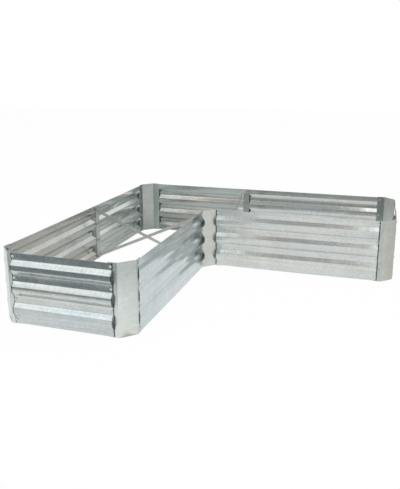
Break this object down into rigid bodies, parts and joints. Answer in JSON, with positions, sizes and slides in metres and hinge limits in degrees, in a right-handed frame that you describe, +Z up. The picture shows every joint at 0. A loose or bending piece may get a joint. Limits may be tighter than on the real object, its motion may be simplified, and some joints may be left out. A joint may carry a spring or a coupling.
{
  "type": "raised garden bed",
  "caption": "L-shaped raised bed of corrugated galvanised panels bolted to folded corner pieces and seam plates, with flat cross braces in each arm; open above and below.",
  "frame": {"origin": "on the ground, under the middle of the outline's square", "axes": "+Z up; +X along the back wall, from the square corner to the end of the right arm; +Y from the front arm's end to the back wall"},
  "size_m": [1.524, 1.524, 0.296],
  "materials": {
    "panel_galvanised": "hot-dip galvanised sheet with a fine spangle, rolled, slightly dented",
    "corner_galvanised": "hot-dip galvanised sheet, folded, duller than the panels",
    "brace_galvanised": "galvanised flat strip, dull grey",
    "bolt_zinc": "bright zinc-plated bolt and nut"
  },
  "bodies": {
    "root": {"back_left_corner": "corner_galvanised", "back_left_panel": "panel_galvanised", "bolt_back_left_panel_back_left_top": "bolt_zinc", "bolt_back_left_panel_back_left_bottom": "bolt_zinc", "bolt_back_left_panel_seam_top": "bolt_zinc", "bolt_back_left_panel_seam_bottom": "bolt_zinc", "back_right_panel": "panel_galvanised", "bolt_back_right_panel_seam_top": "bolt_zinc", "bolt_back_right_panel_seam_bottom": "bolt_zinc", "bolt_back_right_panel_back_right_top": "bolt_zinc", "bolt_back_right_panel_back_right_bottom": "bolt_zinc", "back_seam_plate": "corner_galvanised", "back_right_corner": "corner_galvanised", "right_end_panel": "panel_galvanised", "bolt_right_end_panel_back_right_top": "bolt_zinc", "bolt_right_end_panel_back_right_bottom": "bolt_zinc", "bolt_right_end_panel_right_front_top": "bolt_zinc", "bolt_right_end_panel_right_front_bottom": "bolt_zinc", "right_front_corner": "corner_galvanised", "inner_back_panel": "panel_galvanised", "bolt_inner_back_panel_right_front_top": "bolt_zinc", "bolt_inner_back_panel_right_front_bottom": "bolt_zinc", "bolt_inner_back_panel_inner_top": "bolt_zinc", "bolt_inner_back_panel_inner_bottom": "bolt_zinc", "inner_corner": "corner_galvanised", "inner_left_panel": "panel_galvanised", "bolt_inner_left_panel_inner_top": "bolt_zinc", "bolt_inner_left_panel_inner_bottom": "bolt_zinc", "bolt_inner_left_panel_front_right_top": "bolt_zinc", "bolt_inner_left_panel_front_right_bottom": "bolt_zinc", "front_right_corner": "corner_galvanised", "front_end_panel": "panel_galvanised", "bolt_front_end_panel_front_right_top": "bolt_zinc", "bolt_front_end_panel_front_right_bottom": "bolt_zinc", "bolt_front_end_panel_front_left_top": "bolt_zinc", "bolt_front_end_panel_front_left_bottom": "bolt_zinc", "front_left_corner": "corner_galvanised", "left_front_panel": "panel_galvanised", "bolt_left_front_panel_front_left_top": "bolt_zinc", "bolt_left_front_panel_front_left_bottom": "bolt_zinc", "bolt_left_front_panel_seam_top": "bolt_zinc", "bolt_left_front_panel_seam_bottom": "bolt_zinc", "left_back_panel": "panel_galvanised", "bolt_left_back_panel_seam_top": "bolt_zinc", "bolt_left_back_panel_seam_bottom": "bolt_zinc", "bolt_left_back_panel_back_left_top": "bolt_zinc", "bolt_left_back_panel_back_left_bottom": "bolt_zinc", "left_seam_plate": "corner_galvanised", "left_brace_falling": "brace_galvanised", "left_brace_rising": "brace_galvanised", "back_brace_falling": "brace_galvanised", "back_brace_rising": "brace_galvanised"}
  },
  "joints": []
}
